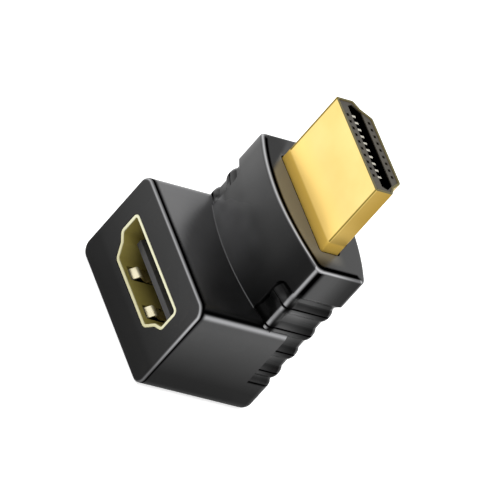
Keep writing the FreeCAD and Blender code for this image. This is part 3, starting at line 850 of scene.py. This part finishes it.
# Rows of the arm's base: flat underside, round lower edge and straight sides up to the grips,
# all of it behind the block. A row holds x, y, z and the amounts of painted light, painted shade
# and the plug's painted reflection.
def armBase(columns):
    b = body
    rows = []

    def addRow(inset, radius, z):
        x, y = armSection(columns, inset, radius)
        rows.append((x, np.maximum(y, b["blockBack"]), z, 0, 0, 0))

    x, y = armSection(columns, b["blockBottomRadius"], leastRadius)
    y = np.maximum(y, b["blockBack"])
    for share in (0, 0.5, 0.97):
        rows.append((share * x, footMiddleY + share * (y - footMiddleY), 0, 0, 0, 0))
    across, along = quarterTurn(edgeSteps)
    for inward, rise in zip(1 - across, along):
        inset = b["blockBottomRadius"] * inward
        radius = max(b["baseCornerRadius"] - inset, leastRadius)
        addRow(inset, radius, b["blockBottomRadius"] * rise)
    for z in (b["blockBottomRadius"] + 0.06, 2.9, grip["bottom"] - 0.12):
        addRow(0, b["baseCornerRadius"], z)
    outerX, _ = armSection(columns, 0, b["cornerRadius"])
    sideMask = smoothStep(0, grip["edgeBlend"], np.abs(outerX) - grip["edge"])
    for inward, rise in ((0, -0.06), (0.02, -0.02), (0.06, 0)):
        inset = inward * sideMask
        addRow(inset, b["baseCornerRadius"] - inset, grip["bottom"] + rise)
    return rows


# The front corners get a painted highlight where the arc begins (turn runs from 0 to 1 along the
# arc and is below 0 on the crown), with a painted dark line of shade where it ends and on the side
# beside it.
def cornerTones(columns):
    kind, value, front, _ = columns
    turn = np.where(kind == 1, (value - 1) * 2.1, np.where(kind == 2, value, 9))
    bright = np.exp(-((turn - 0.22) / 0.31) ** 2) * (front > 0)
    beside = np.where(kind == 3, 1 - smoothStep(0.06, 0.18, value), 0)
    onArc = (kind == 2) & (front > 0)
    return bright, np.maximum(beside, onArc * smoothStep(0.45, 0.85, value))


# Rows of the grips and the head. The grips are shallower where they cross the +X front corner:
# all along the arc, and fading out on the crown and on the side.
def armGrips(columns):
    b = body
    g = grip
    kind, value, front, hand = columns
    outerX, _ = armSection(columns, 0, b["cornerRadius"])
    # painted highlight along the front corner and painted shade beside it, on the grips and the head;
    # the grips also get painted shade in their creases and round their outline
    bright, beside = cornerTones(columns)
    onCrown = (kind == 1) * smoothStep(0.4, 1, value) * (front > 0)
    onArc = (kind == 2) & (front > 0)
    onSide = (kind == 3) * (1 - smoothStep(0, 0.14, value))
    shallow = 1 - 0.6 * (hand > 0) * (onCrown + onArc + onSide)
    creaseTone = np.where(kind < 2, smoothStep(8.9, 9.4, np.abs(outerX)), 1)
    rows = []
    for z in gripHeights():
        mask = gripMask(outerX, z)
        depth = gripDepth(z)
        crease = mask * gripCrease(z) * creaseTone
        sunk = mask * np.clip((depth - g["crest"]) / (g["groove"] - g["crest"]), 0, 1)
        paintedLight = bright * (1 - crease) * (0.6 - 0.14 * sunk)
        paintedShade = np.maximum(gripRim(outerX, z), crease)
        paintedShade = np.maximum(paintedShade, beside * (0.97 - 0.3 * sunk))
        radius = b["cornerRadius"] + mask * (b["gripCornerRadius"] - b["cornerRadius"])
        x, y = armSection(columns, mask * depth * shallow, radius)
        if z < b["blockHeight"] - 0.4:
            y = np.maximum(y, hiddenFrontY)
        rows.append((x, y, z, paintedLight, paintedShade, 0))
    x, y = armSection(columns, 0, b["cornerRadius"])
    for z in (18.6, 20.5, b["endHeight"] - b["endRadius"] - 0.06):
        rows.append((x, y, z, bright * 0.62, beside, 0))
    return rows


# Rows of the arm's end: its round edge and flat face, then the plug's opening with its round
# lip, its wall and a floor inside the plug. The edge's painted highlight and the painted shade
# beside it run round the front, the +X side and the back corner beside it, and fade round the -X
# front corner.
def armEnd(columns):
    b = body
    kind, value, front, hand = columns
    bright, _ = cornerTones(columns)
    across, along = quarterTurn(edgeSteps)
    ring = np.where(front > -1, 1, (kind == 2) * smoothStep(0.6, 0.95, value))
    leftFade = (front > 0) * np.where(kind == 2, 1 - smoothStep(0.15, 0.75, value), 1)
    ring = ring * np.where(hand > 0, 1, leftFade)
    rows = []
    for share, rise, inward in zip(np.linspace(0, 1, edgeSteps + 1), across, along):
        radius = b["cornerRadius"] + share * (b["endCornerRadius"] - b["cornerRadius"])
        x, y = armSection(columns, b["endRadius"] * inward, radius)
        middle = np.where(kind == 3, 0.3, np.interp(x, [0, 5, 8, 10], [0.53, 0.62, 0.55, 0.35]))
        paintedLight = np.maximum(np.exp(-((share - middle) / 0.2) ** 2), bright * (0.6 - share))
        paintedShade = smoothStep(middle + 0.25, middle + 0.45, share)
        z = b["endHeight"] - b["endRadius"] * (1 - rise)
        rows.append((x, y, z, paintedLight * ring, paintedShade * ring, 0))

    def addFaceRow(x, y, dark):
        paintedShade = np.maximum(dark, endShade(x, y))
        rows.append((x, y, b["endHeight"], 0, paintedShade, endReflection(x, y) * (1 - dark)))

    fading = ((0.05, 1), (0.14, 1), (0.22, 1), (0.3, 0.9), (0.4, 0.55), (0.5, 0.2), (0.62, 0))
    for further, dark in fading:
        x, y = armSection(columns, b["endRadius"] + further, b["endCornerRadius"] - further)
        addFaceRow(x, y, dark * ring)
    centre = np.array([0, 4])
    bearing = np.arctan2(y - centre[1], x - centre[0])

    def plugOpening(distance):
        outline = connectorOutline(distance) + np.array([0, plug["wideY"]])
        return alongRays(outline, centre, bearing).T

    holeX, holeY = plugOpening(0.22)
    for share in np.linspace(0.05, 1, 20):
        addFaceRow(x + share * (holeX - x), y + share * (holeY - y), 0)
    # the opening's lip is painted dark all round (painted shade)
    lip = ((0.17, 0), (0.12, 0), (0.09, 0.02), (0.07, 0.06), (0.06, 0.3), (0.06, 0.6))
    for distance, depth in lip:
        holeX, holeY = plugOpening(distance)
        rows.append((holeX, holeY, b["endHeight"] - depth, 0, 1, 0))
    rows.append((0 * holeX, centre[1], b["endHeight"] - 0.6, 0, 0, 0))
    return rows


# Arm: its section, drawn in by an inset that is each row's own, stacked in rows from the middle
# of the flat underside up to the plug's opening.
def makeArm():
    columns = armColumns()
    rows = armBase(columns) + armGrips(columns) + armEnd(columns)
    points, masks = stackRows(rows, ("paintedLight", "paintedShade", "paintedReflection"))
    quads = gridQuads(points, False)
    paler, duller = armGradients(points, columns)
    masks["paintedLight"] = np.maximum(masks["paintedLight"], paler)
    masks["paintedShade"] = np.maximum(masks["paintedShade"], duller)
    piece = addPiece("body_arm", points, quads, masks, bodyPlastic)
    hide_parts("outer_body")
    print("body_arm:", points.shape, "grid")


# Soft gradients of painted light and shade on the block: its top has a painted sheen left of a
# curve that runs from the front's middle to the arm's -X side, its face is painted darker towards
# the foot. Returns the painted light and the painted shade.
def blockGradients(points):
    x, y, z = points[..., 0], points[..., 1], points[..., 2]
    along = y - body["faceY"] - 1.25
    beyond = x - (0.8 - 2.08 * along + 0.135 * along ** 2)
    onTop = smoothStep(body["blockHeight"] - 0.3, body["blockHeight"], z)
    paler = np.interp(beyond, [-3, -1.5, 0, 2, 4, 6, 9], [0.2, 0.15, 0.07, 0.06, 0.04, 0.02, 0])
    onFace = y < body["faceY"] + 0.02
    duller = np.interp(z, [1.5, 4, 6, 8, 10, 12], [0.67, 0.63, 0.58, 0.505, 0.44, 0.385])
    return onTop * paler, onFace * duller


# Block: a rounded rectangle carried along Y, with a round edge at its face, a flat face in to
# the socket's opening and the opening's own wall back through it.
def makeBlock():
    b = body
    half = b["halfWidth"]
    corners = np.array([
        (-half, 0, b["blockBottomRadius"]), (half, 0, b["blockBottomRadius"]),
        (half, b["blockHeight"], b["blockTopRadius"]), (-half, b["blockHeight"], b["blockTopRadius"]),
    ])
    centre = np.array([0.0, 6.6])
    openingDistance = socket["clearance"] + socket["sheet"]

    def opening(distance):
        outline = connectorOutline(openingDistance + distance)
        return np.column_stack([outline[:, 0], socket["wideZ"] - outline[:, 1]])

    def outside(distance):
        return cornerArcs(grownCorners(corners, distance), 18).reshape(-1, 2)

    # columns: rays through every point of both outlines, and some between
    spokes = np.concatenate([outside(0.0), outside(-0.08), opening(0.0)]) - centre
    between = np.radians(np.arange(-179, 180, 3))
    angles = withGaps(np.concatenate([np.arctan2(spokes[:, 1], spokes[:, 0]), between]), 0.0015)
    across, along = quarterTurn(edgeSteps)
    # the top's round edges, by the angle turned from the side (0) to the top (90 degrees)
    edge = alongRays(outside(0.0), centre, angles)
    up = edge[:, 1] - (b["blockHeight"] - b["blockTopRadius"])
    out = np.abs(edge[:, 0]) - (half - b["blockTopRadius"])
    turned = np.degrees(np.arctan2(up, np.maximum(out, 1e-6)))
    # only the +X top edge gets a painted highlight and, above it, a painted dark line of shade
    onEdge = (up > 0) & (out > 0) & (edge[:, 0] > 0)
    edgeBright = onEdge * 0.68 * np.exp(-((turned - 23) / 11.5) ** 2)
    edgeDark = onEdge * smoothStep(30, 41, turned) * (1 - smoothStep(48, 84, turned))
    onTop = smoothStep(-b["blockTopRadius"], 0, up - b["blockTopRadius"])
    rows = []

    def addRow(outline, depth, paintedLight=0, paintedShade=0):
        x, z = alongRays(outline, centre, angles).T
        rows.append((x, b["faceY"] + depth, z, paintedLight, paintedShade))

    back = b["blockBack"] - b["faceY"]
    wall = ((0.0, back), (0.0, 1.5), (0.0, 0.1), (0.01, 0.04), (0.05, 0.0), (0.1, 0.0))
    for distance, depth in wall:
        addRow(opening(distance), depth)
    inner = alongRays(opening(0.1), centre, angles)
    outer = alongRays(outside(-b["faceRadius"] - 0.06), centre, angles)
    for share in (0.25, 0.5, 0.75, 1):
        addRow(inner + share * (outer - inner), 0.0)
    # the face's round edge turns from the face (share 0) to the sides (share 1), with a painted
    # highlight along its middle and a painted dark line of shade behind it
    for share, rise, inward in zip(np.linspace(0, 1, edgeSteps + 1), across, along):
        paintedLight = (0.85 - 0.22 * onTop) * np.exp(-((share - 0.6 + 0.24 * onTop) / 0.23) ** 2)
        paintedShade = smoothStep(0.84 - 0.14 * onTop, 1.05 - 0.14 * onTop, share)
        addRow(outside(-b["faceRadius"] * (1 - rise)), b["faceRadius"] * inward, paintedLight, paintedShade)
    behind = [(0.05, 1), (0.15, 1), (0.25, 0.86), (0.38, 0.5), (0.52, 0.2), (0.7, 0)]
    behind = [(b["faceRadius"] + further, dark) for further, dark in behind]
    behind = behind + [(depth, 0) for depth in np.arange(1.5, back, 0.7)] + [(back, 0)]
    for depth, dark in behind:
        addRow(outside(0.0), depth, edgeBright * (1 - dark), np.maximum(edgeDark, dark))
    points, masks = stackRows(rows, ("paintedLight", "paintedShade"))
    quads = gridQuads(points, True)
    paler, duller = blockGradients(points)
    masks["paintedLight"] = np.maximum(masks["paintedLight"], paler * (1 - masks["paintedShade"]))
    masks["paintedShade"] = np.maximum(masks["paintedShade"], duller)
    addPiece("body_block", points, quads, masks, bodyPlastic)
    print("body_block:", points.shape, "grid")


# Small hollow fillet where the arm's front crown stands on the block: a quarter circle
# carried along the crown.
def makeJoin():
    b = body
    radius = b["joinRadius"]
    sunk = -0.08   # how far it reaches into the arm and into the block
    angle = np.linspace(0, math.pi / 2, edgeSteps)
    arc = np.stack([radius - radius * np.cos(angle), radius - radius * np.sin(angle)], axis=1)
    section = np.concatenate([[[sunk, sunk], [sunk, radius]], arc, [[radius, sunk]]])
    x = np.linspace(-grip["edge"] - 0.02, grip["edge"] + 0.02, 61)
    drop = np.sqrt(crownRadius ** 2 - x ** 2)
    outward = section[None, :, 0]
    px = x[:, None] * (1 + outward / crownRadius)
    py = frontCentre - drop[:, None] * (1 + outward / crownRadius)
    pz = np.broadcast_to(b["blockHeight"] + section[None, :, 1], px.shape)
    strip = np.stack([px, py, pz], axis=-1)
    ends = [np.broadcast_to(row[:, :1], row.shape) for row in (strip[:1], strip[-1:])]
    strip = np.concatenate([ends[0], strip, ends[1]])
    quads = gridQuads(strip, False)
    # a painted highlight along the whole fillet
    paintedLight = np.full(strip.shape[:2], 0.13)
    addPiece("body_join", strip, quads, {"paintedLight": paintedLight}, bodyPlastic, 50)


makeArm()
makeBlock()
makeJoin()


# The CAD nodes that stay keep their shapes and get materials, by the start of their names
dressing = {
    "plug_insulator": plugMoulding, "socket_insulator": socketMoulding,
    "plug_contact": plugContactGold, "socket_contact": socketContactGold,
    "inner_mould": innerPlastic, "circuit_board": boardLaminate,
}
for nodeName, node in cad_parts.items():
    for start, material in dressing.items():
        if nodeName.startswith(start):
            node.data.materials.clear()
            node.data.materials.append(material)
print("nodes: dressed")


# Floor, light and camera, in metres. The camera's axes and place were fitted to the photo.
stage = {
    "floorSize": 6.0, "floorTone": (0.85, 0.85, 0.85), "floorGlow": 0.6, "worldStrength": 1.3,
    "lightPlace": (0.12, -0.25, 0.5), "lightTarget": (0, 0, 0.012),
    "lightSize": 0.3, "lightPower": 0.6,
}
view = {
    "right": (0.30001662, 0.75743333, 0.57990066), "down": (0.73829808, 0.20058507, -0.64395774),
    "ahead": (-0.60407448, 0.62133757, -0.49903272), "place": (0.498287, -0.511753, 0.425908),
    "lens": 544.8, "sensor": 36,
}


def makeFloor():
    half = stage["floorSize"] / 2
    corners = [(-half, -half, 0), (half, -half, 0), (half, half, 0), (-half, half, 0)]
    mesh = bpy.data.meshes.new("floor")
    mesh.from_pydata(corners, [], [(0, 1, 2, 3)])
    floor = addObject("floor", mesh)
    floor.location = (0, 0, -0.02 * mm)
    material, _, shader, _ = newMaterial("floorPaper")
    setInputs(shader, {
        "Base Color": (*stage["floorTone"], 1), "Roughness": 0.8, "Specular IOR Level": 0.1,
        "Emission Color": (1, 1, 1, 1), "Emission Strength": stage["floorGlow"],
    })
    mesh.materials.append(material)


def makeWorld():
    world = bpy.data.worlds.new("studio")
    world.use_nodes = True
    background = world.node_tree.nodes["Background"]
    setInputs(background, {"Color": (1, 1, 1, 1), "Strength": stage["worldStrength"]})
    bpy.context.scene.world = world
    bpy.context.scene.view_settings.view_transform = "Standard"


# Turns an object so that its X, Y and Z axes are the given ones, and puts it in its place
def placeByAxes(thing, x, y, z, place):
    turned = Matrix(np.stack([x, y, z]).T.tolist())
    thing.matrix_world = Matrix.Translation(place) @ turned.to_4x4()


def addSoftLight():
    light = bpy.data.lights.new("softKey", "AREA")
    light.size = stage["lightSize"]
    light.energy = stage["lightPower"]
    away = np.subtract(stage["lightPlace"], stage["lightTarget"])
    away = away / np.linalg.norm(away)
    across = np.cross([0, 0, 1], away)
    across = across / np.linalg.norm(across)
    up = np.cross(away, across)
    placeByAxes(addObject("softKey", light), across, up, away, stage["lightPlace"])


def makeCamera():
    camera = bpy.data.cameras.new("camera")
    camera.sensor_width = view["sensor"]
    camera.lens = view["lens"]
    camera.clip_start = 0.05
    camera.clip_end = 20
    holder = addObject("camera", camera)
    up = np.negative(view["down"])
    back = np.negative(view["ahead"])
    placeByAxes(holder, view["right"], up, back, view["place"])
    bpy.context.scene.camera = holder


makeFloor()
makeWorld()
addSoftLight()
makeCamera()
print("stage: floor, light and camera set")
